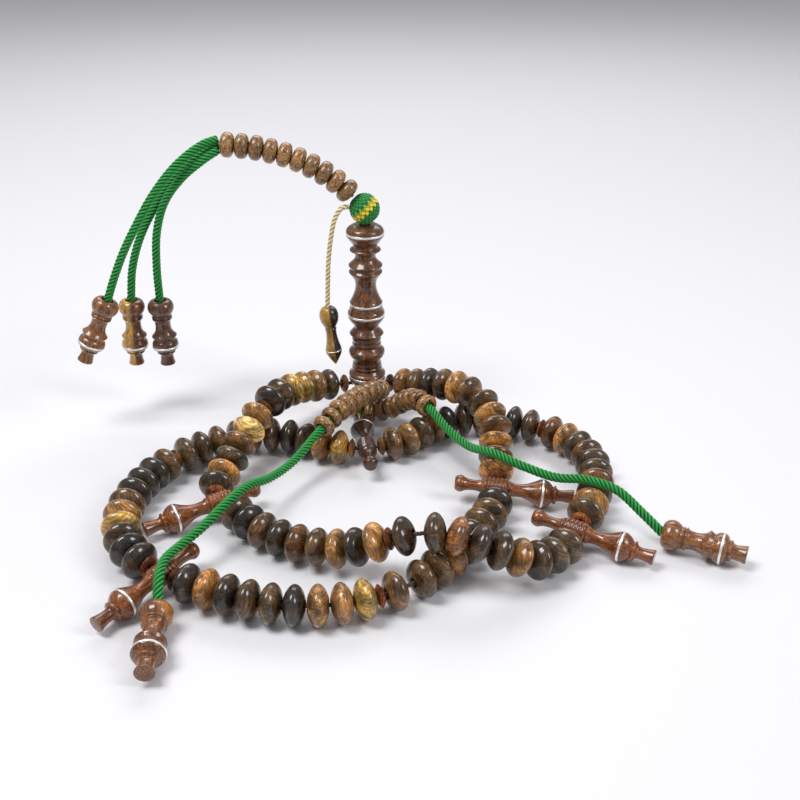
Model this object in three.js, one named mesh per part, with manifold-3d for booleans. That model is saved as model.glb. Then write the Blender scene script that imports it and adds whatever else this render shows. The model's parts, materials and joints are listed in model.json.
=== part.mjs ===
// Misbaha prayer beads, laid out on a table: a closed loop of 100 turned beads with five crossbars,
// an upright imam (leader) piece with a knotted, beaded tail, a gold pendant and two counter strings.
// Millimetres, +Z up, +Y away from the front. The origin is the centre of the imam's foot.
import * as THREE from 'three';
import { mergeVertices } from 'three/addons/utils/BufferGeometryUtils.js';
import Module from 'manifold-3d';

const wasm = await Module();
wasm.setup();

// ---- driving dimensions ----
const beadRadius = 5;            // loop bead (rondelle)
const beadSides = 8;
const discRadius = 2.85;         // thin spacer disc
const discThickness = 1.9;
const stringDiameter = 1.2;      // inner string of the loop and the tail
const loopStringSteps = 100;
const boreRadius = 1.15;
const neckRadius = 2.3;          // where two neighbouring beads of one run meet
const slideGap = 2;              // free string beside each loose loop bead
const looseGap = 0.25;           // a loose bead stands this far off its neighbours
const cordDiameter = 2.5;        // green cord
const cordSides = 8;
const goldCordDiameter = 1.5;
const counterBeadRadius = 3.3;
const counterBeadPitch = 3.7;
const counterBeadBore = 1.8;
const counterFixedBeads = 8;     // joined at the imam's end of each counter
const counterLooseBeads = 2;
const counterStart = 4.3;        // along the cord, where the first bead stands clear of the imam
const tailBeadRadius = 3.55;
const tailBeadPitch = 4.1;
const tailBeadCount = 10;
const smallBeadSides = 8;
const imamSides = 16;
const imamHeight = 60;
const ringGap = 0.12;            // silver wire sits in its groove with this clearance
const ringWire = 0.55;           // half the wire's width
const sideHoleHeight = 8;        // strings leave the imam at this height
const knotRadius = 4.5;
const knotCentre = new THREE.Vector3(0, 0, imamHeight + knotRadius + 0.3);
const axialBore = 1.6;           // up the middle of the imam
const sideHole = 1.5;            // where the loop's string leaves the imam
const counterHole = cordDiameter / 2 + 0.35;
const strandsRadius = 1.2;
const imamHalfWidth = 5.7;       // beads start and end this far from the imam's axis
const knotRows = 7;
const barBoreRadius = 1.1;
const barHalfWidth = 3.35;       // and this far from a crossbar's axis
const barTilt = THREE.MathUtils.degToRad(4.5);   // the bell end lies lower
const barSides = 8;
const finialSides = 10;
const mouthRadius = 1.75;        // of the shallow hole that a cord enters
const mouthDepth = 0.8;
const endGap = 0.35;             // between a cord's end and the piece that it enters

// ---- profiles of turned pieces: [radius, height along the axis] ----
const imamProfile = [
  [3.5, 0], [3.5, 0.7], [2.0, 1.8], [2.2, 3.2], [2.8, 4.1], [2.4, 5.0], [3.8, 7.3], [5.6, 9.9], [5.6, 11.9],
  [4.4, 13.6], [4.4, 16.6], [5.5, 18.6], [4.2, 21.2], [4.3, 24.4], [5.2, 25.5], [3.7, 27.5], [5.6, 30.9],
  [5.6, 32.5], [4.9, 35.2], [3.1, 41.2], [4.0, 43.9], [5.1, 45.4], [4.3, 46.5], [5.1, 47.5], [3.1, 50.3],
  [4.7, 52.3], [3.6, 53.5], [5.6, 56.7], [5.6, 58.1], [3.7, 60],
];
const imamRings = [[5.6, 10.9], [5.6, 31.7], [4.9, 35.2], [5.6, 57.4]];   // [radius, height]
const finialProfile = [
  [3.0, 0], [3.8, 1.0], [3.9, 2.8], [2.9, 5.0], [3.0, 6.1], [2.4, 7.3], [2.5, 9.8], [3.7, 11.6], [3.2, 12.6],
  [3.95, 14.4], [3.6, 16.0], [2.6, 17.3], [1.9, 18.0], [2.4, 21.0],
];
const barProfile = [
  [1.9, -11.4], [2.2, -9.6], [1.45, -6.0], [2.2, -2.9], [2.85, -1.6], [2.85, 1.6], [2.1, 3.0], [1.75, 5.8],
  [3.8, 11.8], [3.6, 13.2], [2.2, 15.0], [2.3, 15.6], [1.4, 16.4], [1.9, 20.6],
];
const pendantProfile = [
  [1.6, 0], [2.85, 1.8], [2.9, 3.8], [2.4, 5.5], [1.7, 6.9], [1.7, 9.2], [2.0, 11.6], [2.5, 13.8],
  [2.55, 14.8], [1.6, 17.0], [0, 19.3],
];

// ---- routes, chosen by hand: [x, y, z] ----
// The loop's string, from inside the imam round to inside the imam. 'bar' marks a crossbar's place.
const loopRoute = [
  [-0.8, 0, 8], [-5.2, -0.3, 8.2], [-13.5, -5.5, 10.2], [-22.5, -15.5, 13.8], [-28.5, -26, 15],
  [-34, -38, 11.2], [-38.5, -48.5, 6.4], [-40.5, -56, 5.15],
  ['bar', -38.8, -62.6, 4.9], [-34, -67.5, 5.15], [-27, -75.5, 5.15], [-17, -82, 5.15], [-5, -86.8, 6.8],
  [7, -90.5, 12.4], [18, -93, 15.4], [30, -94.2, 11.8], [41, -92, 6.4], [48.5, -85.6, 5.15],
  ['bar', 53, -77.5, 4.8], [58.6, -67, 5.15], [62.6, -54, 5.15], [62.4, -40.5, 5.15], [56, -29, 5.15],
  [45.5, -22, 5.15], [33, -18.5, 5.15], [21.8, -22, 5.15], [11, -31.4, 5.15],
  ['bar', 0, -35.2, 4.9], [-11, -34, 5.15], [-22, -28.6, 5.15], [-35, -27.5, 5.15], [-47.5, -34.5, 5.15],
  [-57, -45.5, 5.15], [-62, -59, 5.15], [-62.4, -73, 5.15], [-57.5, -85, 5.15],
  ['bar', -48.5, -93.2, 4.8], [-37, -99.8, 5.15], [-23.5, -105, 5.15], [-9.5, -106.4, 5.15],
  [4, -103, 5.15], [14, -96.4, 5.15], [22, -87, 5.15], [28.5, -76.5, 5.15], [33.2, -67, 5.15],
  ['bar', 35.2, -57.2, 4.9], [35.9, -47, 6.2], [36.4, -35, 11.6], [32, -23, 15], [23, -13.2, 14],
  [13, -5.8, 10.4], [5.2, -0.3, 8.2], [0.8, 0, 8],
];
const counterRoutes = {
  left: [
    [2.2, -2.2, 7.8], [4.0, -4.7, 8.2], [3.2, -9.8, 10.6], [1.2, -14.6, 12.6], [-2.0, -19.8, 13.7],
    [-5.4, -25.4, 14.2], [-9, -31.4, 14], [-14.4, -40, 11.6], [-20, -48.8, 8.8], [-25.4, -57.6, 9.2],
    [-30.4, -66, 11.9], [-35, -74, 11.9], [-39.8, -81.6, 10.2], [-44.4, -88.4, 9.4],
    [-47.2, -94.4, 9.4], [-47.6, -100, 8.2], [-47.2, -105.6, 4.8],
  ],
  right: [
    [-2.2, -2.3, 7], [-3.9, -4.1, 6.4], [-4.2, -8.2, 4.9], [-0.9, -11.2, 3.9], [4, -12, 4.4], [8.4, -13.8, 7],
    [11.8, -17.2, 10.8], [14.8, -22.2, 13.6], [18.4, -28.4, 13.8], [23, -36, 11.4], [28.4, -44, 10.4],
    [34.6, -51, 12.1], [42, -56.4, 11.2], [50, -60.6, 10.2], [57.6, -64.6, 11.8], [64.6, -69.4, 11.6],
    [70.4, -74.2, 7.8], [74.8, -78, 4.5],
  ],
};
// The tail, from the knot's centre: the string through its beads, then the three cords from the last bead.
const tailStringRoute = [
  [-3.3, 0, 3.6], [-6.8, 0.3, 6.9], [-13, 0.8, 11.2], [-20.8, 1.4, 14.8], [-30, 1.8, 17.2], [-40.6, 2, 18.4],
];
const tailCordRoutes = {
  left: [
    [-41.1, 1.9, 19.9], [-45.5, 0.6, 18.6], [-52.8, -2.2, 13.6], [-59.4, -5.4, 6.2], [-64.8, -7.6, -2.2],
    [-69, -8.8, -9.6], [-72.4, -9.4, -17], [-75, -9.6, -23.6],
  ],
  middle: [
    [-41.1, 3.5, 17.7], [-46.6, 3.2, 15.2], [-54.6, 2.6, 8.4], [-61, 1.6, 0.2], [-66, 0.6, -8.6],
    [-69.2, -0.2, -18], [-70.6, -0.4, -27.4],
  ],
  right: [
    [-41.1, 0.6, 17.2], [-45.4, -0.2, 14.6], [-51.8, -0.6, 9.6], [-57.4, -0.8, 2.6], [-60.6, -0.8, -6.4],
    [-61.8, -0.8, -17], [-62, -0.8, -27.4],
  ],
};
const goldCordRoute = [
  [-4.4, -1.2, 0.9], [-6.6, -1.6, 0.6], [-8.6, -1.9, -2.4], [-10, -2, -8.4], [-10.9, -2, -15.4],
  [-11.3, -2, -22.4], [-11.6, -2, -29.6],
];

// ---- materials ----
const wood = (color) => new THREE.MeshStandardMaterial({ color, roughness: 0.32, metalness: 0 });
const fabric = (color) => new THREE.MeshStandardMaterial({ color, roughness: 0.85, metalness: 0 });
const imamWood = () => wood(0x6a2c16);
const beadWood = () => wood(0x3d3424);
const smallBeadWood = () => wood(0x8a5a30);
const barWood = () => wood(0x7a3412);
const greenCord = () => fabric(0x0b8a3c);
const silver = () => new THREE.MeshStandardMaterial({ color: 0xd8d8d6, roughness: 0.25, metalness: 1 });

const root = new THREE.Group();

function addPiece(name, geometry, material) {
  const piece = new THREE.Mesh(geometry, material);
  piece.name = name;
  root.add(piece);
}

// ---- geometry helpers ----
const vector = ([x, y, z]) => new THREE.Vector3(x, y, z);
const curveThrough = (points) => new THREE.CatmullRomCurve3(points.map(vector), false, 'centripetal');
const fromKnot = (points) => points.map((point) => vector(point).add(knotCentre).toArray());

// A turned piece on +Z. The profile runs from the bottom to the top and is closed on the axis.
function turned(profile, sides) {
  const points = profile.map(([radius, height]) => new THREE.Vector2(radius, height));
  if (points[0].x > 0) points.unshift(new THREE.Vector2(0, points[0].y));
  const top = points[points.length - 1];
  if (top.x > 0) points.push(new THREE.Vector2(0, top.y));
  return new THREE.LatheGeometry(points, sides).rotateX(Math.PI / 2);
}

function tube(curve, radius, steps, sides = cordSides) {
  const section = new THREE.Shape();
  for (let i = 0; i < sides; i += 1) {
    const angle = (2 * Math.PI * i) / sides;
    const x = radius * Math.cos(angle);
    const y = radius * Math.sin(angle);
    if (i === 0) section.moveTo(x, y);
    else section.lineTo(x, y);
  }
  return new THREE.ExtrudeGeometry(section, { steps, extrudePath: curve });
}

// Puts a piece that was made on +Z at a place, with +Z along the axis and one of its corners downwards.
function placement(position, axis) {
  const along = axis.clone().normalize();
  const upright = Math.abs(along.z) > 0.99 ? new THREE.Vector3(1, 0, 0) : new THREE.Vector3(0, 0, 1);
  const side = new THREE.Vector3().crossVectors(along, upright).normalize();
  const up = new THREE.Vector3().crossVectors(side, along);
  return new THREE.Matrix4().makeBasis(up, side, along).setPosition(position);
}

const placed = (geometry, position, axis) => geometry.applyMatrix4(placement(position, axis));

function toSolid(geometry) {
  const bare = geometry.clone();
  bare.deleteAttribute('normal');
  bare.deleteAttribute('uv');
  const merged = mergeVertices(bare, 1e-4);
  const corners = merged.getIndex().array;
  const kept = [];
  for (let i = 0; i < corners.length; i += 3) {
    const [a, b, c] = [corners[i], corners[i + 1], corners[i + 2]];
    if (a !== b && b !== c && c !== a) kept.push(a, b, c);
  }
  return new wasm.Manifold(new wasm.Mesh({
    numProp: 3,
    vertProperties: new Float32Array(merged.getAttribute('position').array),
    triVerts: new Uint32Array(kept),
  }));
}

function toGeometry(solid) {
  const mesh = solid.getMesh();
  const geometry = new THREE.BufferGeometry();
  geometry.setAttribute('position', new THREE.BufferAttribute(new Float32Array(mesh.vertProperties), 3));
  geometry.setIndex(new THREE.BufferAttribute(new Uint32Array(mesh.triVerts), 1));
  geometry.computeVertexNormals();
  return geometry;
}

// Joins the outer pieces into one solid, then cuts the others out of it.
function joined(outers, cutters) {
  let solid = toSolid(outers[0]);
  for (const outer of outers.slice(1)) solid = solid.add(toSolid(outer));
  for (const cutter of cutters) solid = solid.subtract(toSolid(cutter));
  return toGeometry(solid);
}

const rod = (from, to, radius, sides = 8) => {
  const axis = vector(to).sub(vector(from));
  return placed(turned([[radius, 0], [radius, axis.length()]], sides), vector(from), axis);
};

// ---- beads ----
// Half profiles of a bead and a disc, from face to face: [radius, share of the thickness].
const beadShape = (radius, neck) => [[neck, -0.5], [radius, -0.17], [radius, 0.17], [neck, 0.5]];
const discShape = [[1.9, -0.5], [discRadius, 0], [1.9, 0.5]];

// Bends a piece that was made along +Z to follow a curve. Its z is the length along the curve.
function bent(geometry, curve) {
  const total = curve.getLength();
  const position = geometry.getAttribute('position');
  const place = new THREE.Vector3();
  for (let i = 0; i < position.count; i += 1) {
    const length = position.getZ(i) / total;
    const basis = placement(curve.getPointAt(length), curve.getTangentAt(length));
    place.set(position.getX(i), position.getY(i), 0).applyMatrix4(basis);
    position.setXYZ(i, place.x, place.y, place.z);
  }
  return geometry;
}

// A run of bored beads that touch, made straight as one turned tube and then bent along the string.
// Each item is { shape, from, to } with lengths along the curve.
function beadRun(items, curve, bore) {
  const outer = [];
  for (const { shape, from, to } of items) {
    const middle = (from + to) / 2;
    for (const [radius, share] of shape) {
      const height = middle + share * (to - from);
      const previous = outer[outer.length - 1];
      if (!previous || height - previous[1] > 0.01) outer.push([radius, height]);
    }
  }
  const inner = [items[0].from, ...items.map(({ to }) => to)].map((height) => [bore, height]).reverse();
  const points = [...outer, ...inner, outer[0]].map(([radius, height]) => new THREE.Vector2(radius, height));
  return bent(new THREE.LatheGeometry(points, beadSides).rotateX(Math.PI / 2), curve);
}

// One bored bead on its own, straight through.
function singleBead(radius, thickness, bore, position, axis) {
  const half = thickness / 2;
  const outline = [
    [bore, -half], [0.55 * radius, -half], [radius, -0.17 * thickness], [radius, 0.17 * thickness],
    [0.55 * radius, half], [bore, half], [bore, -half],
  ];
  const points = outline.map(([r, height]) => new THREE.Vector2(r, height));
  return placed(new THREE.LatheGeometry(points, smallBeadSides).rotateX(Math.PI / 2), position, axis);
}

// ---- the loop: beads, discs and crossbars along the string ----
const loopPoints = loopRoute.map((point) => (point[0] === 'bar' ? point.slice(1) : point));
const loopCurve = curveThrough(loopPoints);
loopCurve.arcLengthDivisions = 50 * (loopPoints.length - 1);
const loopLength = loopCurve.getLength();
const lengthAtPoint = (index) => loopCurve.getLengths()[50 * index];
const loopPlace = (length) => [
  loopCurve.getPointAt(length / loopLength), loopCurve.getTangentAt(length / loopLength),
];
const barIndexes = loopRoute.flatMap((point, index) => (point[0] === 'bar' ? [index] : []));
const loopBead = beadShape(beadRadius, neckRadius);

// Each group lies between two stops. A disc sits at each end and in the middle. The loose bead, where
// a group has one, has free string on the side that it slides to.
const groups = [
  { beads: 12, loose: 'start' }, { beads: 18, loose: 'middle' }, { beads: 20 }, { beads: 20 },
  { beads: 18, loose: 'middle' }, { beads: 12, loose: 'end' },
];
const stops = [imamHalfWidth, ...barIndexes.map(lengthAtPoint), loopLength - imamHalfWidth];

groups.forEach((group, index) => {
  const number = index + 1;
  const start = stops[index] + (index === 0 ? 0 : barHalfWidth);
  const end = stops[index + 1] - (index === groups.length - 1 ? 0 : barHalfWidth);
  const freeString = group.loose ? slideGap + 2 * looseGap : 0;
  const pitch = (end - start - 3 * discThickness - freeString) / group.beads;
  const looseOrder = { start: 0, middle: group.beads / 2, end: group.beads - 1 }[group.loose];
  const runs = [[], []];
  let length = start;
  const put = (run, shape, room) => {
    run.push({ shape, from: length, to: length + room });
    length += room;
  };
  const imamDisc = () => {
    const disc = [];
    put(disc, discShape, discThickness);
    addPiece(`imam_disc_${number}`, beadRun(disc, loopCurve, boreRadius), barWood());
  };

  if (group.loose === 'start') imamDisc();
  else put(runs[0], discShape, discThickness);
  for (let bead = 0; bead < group.beads; bead += 1) {
    if (bead === group.beads / 2) put(runs[0], discShape, discThickness);
    if (bead === looseOrder) {
      length += looseGap + (group.loose === 'start' ? slideGap : 0);
      const [position, axis] = loopPlace(length + pitch / 2);
      const turnedBead = singleBead(beadRadius, pitch, boreRadius, position, axis);
      addPiece(`loose_bead_${number}`, turnedBead, beadWood());
      length += pitch + looseGap + (group.loose === 'start' ? 0 : slideGap);
    } else {
      put(runs[bead < group.beads / 2 ? 0 : 1], loopBead, pitch);
    }
  }
  if (group.loose === 'end') imamDisc();
  else put(runs[1], discShape, discThickness);
  addPiece(`beads_${number}a`, beadRun(runs[0], loopCurve, boreRadius), beadWood());
  addPiece(`beads_${number}b`, beadRun(runs[1], loopCurve, boreRadius), beadWood());
});

addPiece('loop_string', tube(loopCurve, stringDiameter / 2, loopStringSteps), fabric(0x3a2a1c));

// Each crossbar points its long end to the right of the string's run, with its bell on the table.
const barNames = ['crossbar_left_inner', 'crossbar_right_outer', 'crossbar_middle', 'crossbar_left_outer',
  'crossbar_right_inner'];
barNames.forEach((name, index) => {
  const [position, along] = loopPlace(stops[index + 1]);
  const level = new THREE.Vector3(along.y, -along.x, 0).normalize();
  const axis = level.multiplyScalar(Math.cos(barTilt)).add(new THREE.Vector3(0, 0, -Math.sin(barTilt)));
  axis.addScaledVector(along, -axis.dot(along));
  const bar = placed(turned(barProfile, barSides), position, axis);
  const boreRoute = [-5, -2.5, 0, 2.5, 5].map((reach) => loopPlace(stops[index + 1] + reach)[0]);
  const bore = tube(new THREE.CatmullRomCurve3(boreRoute), barBoreRadius, 4);
  addPiece(name, joined([bar], [bore]), barWood());
});

// ---- the imam, with its rings, its inner strands and its side holes ----
const ringProfile = ([radius, height], clearance) => [
  [radius - ringWire - clearance, height - ringWire - clearance],
  [radius + 0.1 + clearance, height - ringWire - clearance],
  [radius + 0.1 + clearance, height + ringWire + clearance],
  [radius - ringWire - clearance, height + ringWire + clearance],
];
function ringGeometry(ring, clearance) {
  const corners = ringProfile(ring, clearance);
  const points = [...corners, corners[0]].map(([radius, height]) => new THREE.Vector2(radius, height));
  return new THREE.LatheGeometry(points, imamSides).rotateX(Math.PI / 2);
}
const imamCutters = [
  rod([0, 0, sideHoleHeight], [0, 0, imamHeight + 1], axialBore),
  rod([-beadRadius - 1, 0, sideHoleHeight], [beadRadius + 1, 0, sideHoleHeight], sideHole),
  ...Object.values(counterRoutes).map(([inside, outside]) => rod(inside, outside, counterHole)),
  ...imamRings.map((ring) => ringGeometry(ring, ringGap)),
];
addPiece('imam', joined([turned(imamProfile, imamSides)], imamCutters), imamWood());
imamRings.forEach((ring, index) => {
  addPiece(`imam_ring_${index + 1}`, ringGeometry(ring, 0), silver());
});
addPiece('imam_strands', rod([0, 0, sideHoleHeight + 1.2], [0, 0, imamHeight - 0.2], strandsRadius),
  fabric(0x3a2a1c));

// ---- the tail: knot, beads, cords and finials ----
const knotProfile = [];
for (let row = 0; row <= knotRows; row += 1) {
  const angle = Math.PI * (row / knotRows - 0.5);
  knotProfile.push([Math.max(0, knotRadius * Math.cos(angle)), knotRadius * Math.sin(angle)]);
}
addPiece('knot', placed(turned(knotProfile, smallBeadSides + 2), knotCentre, new THREE.Vector3(0, 0, 1)),
  greenCord());

const tailString = curveThrough(fromKnot(tailStringRoute));
const tailLength = tailString.getLength();
addPiece('tail_string', tube(tailString, stringDiameter / 2, 12), fabric(0x3a2a1c));
for (let i = 0; i < tailBeadCount; i += 1) {
  const share = (endGap + (i + 0.5) * tailBeadPitch) / tailLength;
  const bead = singleBead(tailBeadRadius, 0.91 * tailBeadPitch, boreRadius, tailString.getPointAt(share),
    tailString.getTangentAt(share));
  addPiece(`tail_bead_${i + 1}`, bead, smallBeadWood());
}

// The finial's profile starts at the bottom of the shallow hole that the cord enters.
const finialOutline = [[0, mouthDepth], [mouthRadius, mouthDepth], [mouthRadius, 0], ...finialProfile];
function addFinial(name, mouth, axis) {
  addPiece(name, placed(turned(finialOutline, finialSides), mouth, axis), smallBeadWood());
}
const tailFinialAxes = { left: [-0.42, -0.06, -0.9], middle: [-0.03, 0, -1], right: [0.02, 0, -1] };
for (const [side, route] of Object.entries(tailCordRoutes)) {
  const curve = curveThrough(fromKnot(route));
  addPiece(`tail_cord_${side}`, tube(curve, cordDiameter / 2, 20), greenCord());
  const mouth = curve.getPoint(1).addScaledVector(curve.getTangent(1), endGap);
  addFinial(`tail_finial_${side}`, mouth, vector(tailFinialAxes[side]));
}

// ---- the gold cord and its pendant ----
const goldCord = curveThrough(fromKnot(goldCordRoute));
addPiece('gold_cord', tube(goldCord, goldCordDiameter / 2, 16), fabric(0xc9a24a));
const pendantAxis = new THREE.Vector3(0.1, 0, -1);
addPiece('pendant', placed(turned(pendantProfile, finialSides),
  goldCord.getPoint(1).addScaledVector(pendantAxis, endGap), pendantAxis), smallBeadWood());

// ---- the counters: joined beads, loose beads, a cord and a finial each ----
const counterBead = beadShape(counterBeadRadius, 0.62 * counterBeadRadius);
const counterFinialAxes = { left: [0.04, -1, -0.03], right: [0.9, -0.44, -0.03] };
for (const [side, route] of Object.entries(counterRoutes)) {
  const curve = curveThrough(route);
  const total = curve.getLength();
  const items = [];
  for (let i = 0; i < counterFixedBeads; i += 1) {
    const from = counterStart + i * counterBeadPitch;
    items.push({ shape: counterBead, from, to: from + counterBeadPitch });
  }
  addPiece(`counter_${side}_beads`, beadRun(items, curve, counterBeadBore), smallBeadWood());
  for (let i = 0; i < counterLooseBeads; i += 1) {
    const middle = counterStart + (counterFixedBeads + i + 0.5) * counterBeadPitch + (i + 1) * looseGap;
    const bead = singleBead(counterBeadRadius, 0.94 * counterBeadPitch, counterBeadBore,
      curve.getPointAt(middle / total), curve.getTangentAt(middle / total));
    addPiece(`counter_${side}_bead_${counterFixedBeads + i + 1}`, bead, smallBeadWood());
  }
  addPiece(`counter_${side}_cord`, tube(curve, cordDiameter / 2, 34), greenCord());
  const mouth = curve.getPoint(1).addScaledVector(curve.getTangent(1), endGap);
  addFinial(`counter_${side}_finial`, mouth, vector(counterFinialAxes[side]));
}

export default root;
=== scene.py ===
import json
import math
import random

import bmesh
import bpy
from mathutils import Matrix, Vector


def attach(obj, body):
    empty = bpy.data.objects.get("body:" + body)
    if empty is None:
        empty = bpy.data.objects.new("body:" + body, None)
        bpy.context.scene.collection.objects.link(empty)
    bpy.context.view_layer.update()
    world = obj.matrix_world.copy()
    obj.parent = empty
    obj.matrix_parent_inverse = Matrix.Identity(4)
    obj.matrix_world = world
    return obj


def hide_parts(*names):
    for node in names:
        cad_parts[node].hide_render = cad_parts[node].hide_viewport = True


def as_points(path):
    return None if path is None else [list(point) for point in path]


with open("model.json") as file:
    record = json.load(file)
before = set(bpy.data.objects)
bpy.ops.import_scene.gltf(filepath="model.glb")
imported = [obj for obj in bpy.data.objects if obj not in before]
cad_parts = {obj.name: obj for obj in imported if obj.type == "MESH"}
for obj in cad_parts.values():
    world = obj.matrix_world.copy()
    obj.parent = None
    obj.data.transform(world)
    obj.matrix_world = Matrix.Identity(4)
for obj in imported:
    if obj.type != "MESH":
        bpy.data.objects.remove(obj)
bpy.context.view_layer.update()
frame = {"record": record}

MM = 0.001
GRAIN_RANGE = 60                   # a piece's grain is shifted by up to this much, in mm
ROUTE_DIVISIONS = 50               # points on a curve from one route point to the next
random.seed(7)

# ---------------------------------------------------------------- routes, in mm, as in the CAD source
LOOP_ROUTE = [
    (-0.8, 0, 8), (-5.2, -0.3, 8.2), (-13.5, -5.5, 10.2), (-22.5, -15.5, 13.8), (-28.5, -26, 15),
    (-34, -38, 11.2), (-38.5, -48.5, 6.4), (-40.5, -56, 5.15),
    ("bar", -38.8, -62.6, 4.9), (-34, -67.5, 5.15), (-27, -75.5, 5.15), (-17, -82, 5.15), (-5, -86.8, 6.8),
    (7, -90.5, 12.4), (18, -93, 15.4), (30, -94.2, 11.8), (41, -92, 6.4), (48.5, -85.6, 5.15),
    ("bar", 53, -77.5, 4.8), (58.6, -67, 5.15), (62.6, -54, 5.15), (62.4, -40.5, 5.15), (56, -29, 5.15),
    (45.5, -22, 5.15), (33, -18.5, 5.15), (21.8, -22, 5.15), (11, -31.4, 5.15),
    ("bar", 0, -35.2, 4.9), (-11, -34, 5.15), (-22, -28.6, 5.15), (-35, -27.5, 5.15), (-47.5, -34.5, 5.15),
    (-57, -45.5, 5.15), (-62, -59, 5.15), (-62.4, -73, 5.15), (-57.5, -85, 5.15),
    ("bar", -48.5, -93.2, 4.8), (-37, -99.8, 5.15), (-23.5, -105, 5.15), (-9.5, -106.4, 5.15),
    (4, -103, 5.15), (14, -96.4, 5.15), (22, -87, 5.15), (28.5, -76.5, 5.15), (33.2, -67, 5.15),
    ("bar", 35.2, -57.2, 4.9), (35.9, -47, 6.2), (36.4, -35, 11.6), (32, -23, 15), (23, -13.2, 14),
    (13, -5.8, 10.4), (5.2, -0.3, 8.2), (0.8, 0, 8),
]
COUNTER_ROUTES = {
    "left": [
        (2.2, -2.2, 7.8), (4.0, -4.7, 8.2), (3.2, -9.8, 10.6), (1.2, -14.6, 12.6), (-2.0, -19.8, 13.7),
        (-5.4, -25.4, 14.2), (-9, -31.4, 14), (-14.4, -40, 11.6), (-20, -48.8, 8.8), (-25.4, -57.6, 9.2),
        (-30.4, -66, 11.9), (-35, -74, 11.9), (-39.8, -81.6, 10.2), (-44.4, -88.4, 9.4),
        (-47.2, -94.4, 9.4), (-47.6, -100, 8.2), (-47.2, -105.6, 4.8),
    ],
    "right": [
        (-2.2, -2.3, 7), (-3.9, -4.1, 6.4), (-4.2, -8.2, 4.9), (-0.9, -11.2, 3.9), (4, -12, 4.4),
        (8.4, -13.8, 7), (11.8, -17.2, 10.8), (14.8, -22.2, 13.6), (18.4, -28.4, 13.8), (23, -36, 11.4),
        (28.4, -44, 10.4), (34.6, -51, 12.1), (42, -56.4, 11.2), (50, -60.6, 10.2), (57.6, -64.6, 11.8),
        (64.6, -69.4, 11.6), (70.4, -74.2, 7.8), (74.8, -78, 4.5),
    ],
}
TAIL_STRING_ROUTE = [
    (-3.3, 0, 3.6), (-6.8, 0.3, 6.9), (-13, 0.8, 11.2), (-20.8, 1.4, 14.8), (-30, 1.8, 17.2),
    (-40.6, 2, 18.4),
]
TAIL_CORD_ROUTES = {
    "left": [
        (-41.1, 1.9, 19.9), (-45.5, 0.6, 18.6), (-52.8, -2.2, 13.6), (-59.4, -5.4, 6.2),
        (-64.8, -7.6, -2.2), (-69, -8.8, -9.6), (-72.4, -9.4, -17), (-75, -9.6, -23.6),
    ],
    "middle": [
        (-41.1, 3.5, 17.7), (-46.6, 3.2, 15.2), (-54.6, 2.6, 8.4), (-61, 1.6, 0.2), (-66, 0.6, -8.6),
        (-69.2, -0.2, -18), (-70.6, -0.4, -27.4),
    ],
    "right": [
        (-41.1, 0.6, 17.2), (-45.4, -0.2, 14.6), (-51.8, -0.6, 9.6), (-57.4, -0.8, 2.6),
        (-60.6, -0.8, -6.4), (-61.8, -0.8, -17), (-62, -0.8, -27.4),
    ],
}
GOLD_CORD_ROUTE = [
    (-4.4, -1.2, 0.9), (-6.6, -1.6, 0.6), (-8.6, -1.9, -2.4), (-10, -2, -8.4), (-10.9, -2, -15.4),
    (-11.3, -2, -22.4), (-11.6, -2, -29.6),
]

# ---------------------------------------------------------------- sizes, in mm, and counts
KNOT = (0.0, 0.0, 64.8)
KNOT_RADIUS = 4.5
BEAD_RADIUS = 5.0
BORE = 1.15                        # radius, as each bore below
COUNTER_BEAD_RADIUS = 3.3
COUNTER_BORE = 1.4
LOOSE_COUNTER_BORE = 1.75          # leaves room for the curved cord when the bead slides
TAIL_BEAD_RADIUS = 3.6
TAIL_BORE = 1.1
BAR_BORE = 1.05
LOOP_HOLE = ((-6, 0, 8), (6, 0, 8), 1.35)    # through the imam
CORD_HOLE_RADIUS = 1.5
DISC_THICKNESS = 1.9
SLIDE_GAP = 2.0
LOOSE_GAP = 0.25
CORD_RADIUS = 1.25
GOLD_RADIUS = 0.75
STRING_RADIUS = 0.6
CORD_INSERT = 0.9                  # a cord goes this far past its CAD end, into the finial's mouth
GOLD_INSERT = 0.6
CORD_LAY = (5, 6.2, 0.40)          # strands, length of one turn, depth of the grooves
GOLD_LAY = (3, 4.2, 0.17)
STRING_LAY = (3, 3.5, 0.14)
IMAM_STRANDS_LAY = (4, 9, 0.25)
IMAM_STRANDS_RADIUS = 1.2
IMAM_STRANDS_ROUTE = [(0, 0, 9.2), (0, 0, 30), (0, 0, 59.8)]
LOOSE_SHARE = 0.97                 # a loose bead's thickness, as a share of the pitch
LOOSE_COUNTER_SHARE = 0.94
TAIL_SHARE = 1.02
COUNTER_BEADS = 10
FIXED_COUNTER_BEADS = 8
COUNTER_PITCH = 3.7
COUNTER_START = 4.3
TAIL_BEADS = 10
TAIL_PITCH = 4.1
END_GAP = 0.35
BAR_HALF_WIDTH = 3.35
IMAM_HALF_WIDTH = 5.7
BAR_TILT = math.radians(4.5)
BAR_NAMES = ["crossbar_left_inner", "crossbar_right_outer", "crossbar_middle", "crossbar_left_outer",
             "crossbar_right_inner"]
GROUPS = [
    (12, "start", "dgyydkgcmdgd"), (18, "middle", "dkmkmdgkgkdokkgkdd"), (20, None, "dgkmddmdgmdkdmdkmdgd"),
    (20, None, "ygkkdmdddddkkkdgydkk"), (18, "middle", "kgkddkggymddgdkddk"), (12, "end", "gmgmgddgdkdg"),
]


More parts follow.
